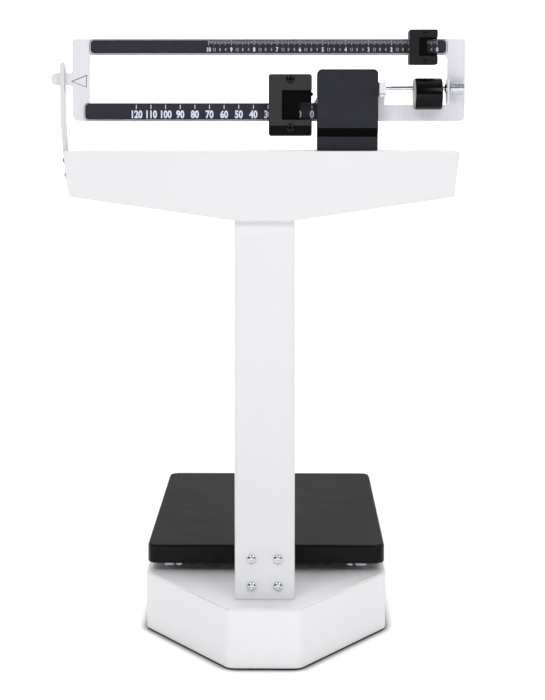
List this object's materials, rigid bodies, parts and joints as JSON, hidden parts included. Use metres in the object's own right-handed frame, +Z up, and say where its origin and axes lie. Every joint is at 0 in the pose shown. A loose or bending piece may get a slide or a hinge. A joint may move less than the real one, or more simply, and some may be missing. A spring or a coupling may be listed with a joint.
{
  "type": "physician beam scale",
  "caption": "Clinical balance-beam scale with a low column: platform on a tapered base, lever train, double-bar beam with sliding poises, pointer loop and zero weight.",
  "frame": {"origin": "centre of the bounding box on the floor", "axes": "+Z up, +X to the right along the beam as it is read, +Y from the reader of the beam towards the platform"},
  "size_m": [0.4524, 0.497, 0.6934],
  "materials": {
    "base_paint": "satin white enamel",
    "column_paint": "satin white enamel",
    "head_paint": "satin white enamel",
    "loop_paint": "satin light grey",
    "rubber": "matt black",
    "mat": "fine textured matt black",
    "platform_enamel": "gloss black enamel",
    "iron": "grey",
    "steel": "bright",
    "chrome": "polished",
    "beam_aluminium": "brushed",
    "scale_bar": "black anodised with pale graduations",
    "cover_plastic": "satin charcoal",
    "weight": "gloss black",
    "poise_plastic": "satin charcoal",
    "poise_core": "black anodised",
    "poise_back": "black enamel",
    "small_poise": "satin black",
    "black_steel": "gloss black"
  },
  "bodies": {
    "stand": {"base_skirt": "base_paint", "base_top_plate": "base_paint", "column_tube": "column_paint", "head_shell": "head_paint", "head_back_cover": "head_paint", "trig_loop": "loop_paint", "foot_front_left": "rubber", "foot_front_right": "rubber", "foot_rear_left": "rubber", "foot_rear_right": "rubber", "base_rail_front": "iron", "base_rail_rear": "iron", "column_bracket": "iron", "shelf_lever_stand": "iron", "fulcrum_stand": "iron", "head_shelf": "steel", "fulcrum_bearing_front": "steel", "fulcrum_bearing_rear": "steel", "pivot_cover": "cover_plastic", "column_screw_lower_left": "chrome", "column_screw_lower_right": "chrome", "column_screw_upper_left": "chrome", "column_screw_upper_right": "chrome", "back_cover_screw_left": "chrome", "back_cover_screw_right": "chrome", "trig_loop_screw_lower": "chrome", "trig_loop_screw_upper": "chrome"},
    "beam": {"beam_frame": "beam_aluminium", "fulcrum_knife": "steel", "load_knife": "steel", "upper_scale_bar": "scale_bar", "lower_scale_bar": "scale_bar"},
    "balance_screw": {"balance_screw": "chrome", "balance_knob": "steel"},
    "balance_weight": {"balance_weight": "weight"},
    "large_poise": {"large_poise_front": "poise_plastic", "large_poise_core": "poise_core", "large_poise_back": "poise_back", "large_poise_screw_lower": "black_steel", "large_poise_screw_upper": "black_steel"},
    "large_poise_pawl": {"large_poise_pawl": "black_steel"},
    "small_poise": {"small_poise_front": "small_poise", "small_poise_core": "small_poise", "small_poise_back": "small_poise", "small_poise_screw_lower": "black_steel", "small_poise_screw_upper": "black_steel"},
    "small_poise_pawl": {"small_poise_pawl": "black_steel"},
    "shelf_link": {"shelf_link": "steel"},
    "shelf_lever": {"shelf_lever": "iron"},
    "draft_rod": {"draft_rod": "steel"},
    "long_lever": {"long_lever": "iron"},
    "lever_link": {"lever_link": "steel"},
    "short_lever": {"short_lever": "iron"},
    "platform": {"platform_frame": "iron", "platform_cover": "platform_enamel", "platform_mat": "mat", "platform_bearing_front_left": "steel", "platform_bearing_front_right": "steel", "platform_bearing_rear_left": "steel", "platform_bearing_rear_right": "steel"}
  },
  "joints": [
    {"name": "beam_tilt", "type": "hinge", "parent": "stand", "child": "beam", "pos_m": [0.09775, -0.1905, 0.626], "axis": [0, 1, 0], "range_deg": [-1.15, 1.15]},
    {"name": "shelf_link_travel", "type": "slide", "parent": "stand", "child": "shelf_link", "axis": [0, 0, 1], "range_m": [-0.00051, 0.00051]},
    {"name": "shelf_lever_tilt", "type": "hinge", "parent": "stand", "child": "shelf_lever", "pos_m": [-0.09225, -0.1905, 0.524], "axis": [0, 1, 0], "range_deg": [-0.1364, 0.1364]},
    {"name": "draft_rod_travel", "type": "slide", "parent": "stand", "child": "draft_rod", "axis": [0, 0, 1], "range_m": [-0.000238, 0.000238]},
    {"name": "long_lever_tilt", "type": "hinge", "parent": "stand", "child": "long_lever", "pos_m": [0.00775, 0.2215, 0.036], "axis": [1, 0, 0], "range_deg": [-0.0331, 0.0331]},
    {"name": "lever_link_travel", "type": "slide", "parent": "stand", "child": "lever_link", "axis": [0, 0, 1], "range_m": [-0.0000925, 0.0000925]},
    {"name": "short_lever_tilt", "type": "hinge", "parent": "stand", "child": "short_lever", "pos_m": [0.00775, -0.0985, 0.02], "axis": [1, 0, 0], "range_deg": [-0.0331, 0.0331]},
    {"name": "platform_travel", "type": "slide", "parent": "stand", "child": "platform", "axis": [0, 0, 1], "range_m": [-0.0000174, 0.0000174]},
    {"name": "large_poise_slide", "type": "slide", "parent": "beam", "child": "large_poise", "axis": [-1, 0, 0], "range_m": [0, 0.192]},
    {"name": "large_pawl_lift", "type": "hinge", "parent": "large_poise", "child": "large_poise_pawl", "pos_m": [0.03275, -0.1905, 0.6235], "axis": [0, -1, 0], "range_deg": [0, 3.5]},
    {"name": "small_poise_slide", "type": "slide", "parent": "beam", "child": "small_poise", "axis": [-1, 0, 0], "range_m": [0, 0.249]},
    {"name": "small_pawl_lift", "type": "hinge", "parent": "small_poise", "child": "small_poise_pawl", "pos_m": [0.17775, -0.1905, 0.6872], "axis": [0, -1, 0], "range_deg": [0, 3.5]},
    {"name": "balance_screw_turn", "type": "hinge", "parent": "beam", "child": "balance_screw", "pos_m": [0.13875, -0.2065, 0.63], "axis": [1, 0, 0], "range_deg": [-4321, 289]},
    {"name": "balance_weight_travel", "type": "slide", "parent": "beam", "child": "balance_weight", "axis": [1, 0, 0], "range_m": [-0.012, 0.0008]}
  ],
  "couplings": [
    {"joint": "shelf_link_travel", "follows": "beam_tilt", "m_per_rad": -0.025},
    {"joint": "shelf_lever_tilt", "follows": "beam_tilt", "ratio": 0.11628},
    {"joint": "draft_rod_travel", "follows": "beam_tilt", "m_per_rad": -0.011628},
    {"joint": "long_lever_tilt", "follows": "beam_tilt", "ratio": 0.028223},
    {"joint": "lever_link_travel", "follows": "beam_tilt", "m_per_rad": -0.0045157},
    {"joint": "short_lever_tilt", "follows": "beam_tilt", "ratio": -0.028223},
    {"joint": "platform_travel", "follows": "beam_tilt", "m_per_rad": -0.00084669},
    {"joint": "balance_screw_turn", "follows": "balance_weight_travel", "rad_per_m": 6283.2}
  ]
}
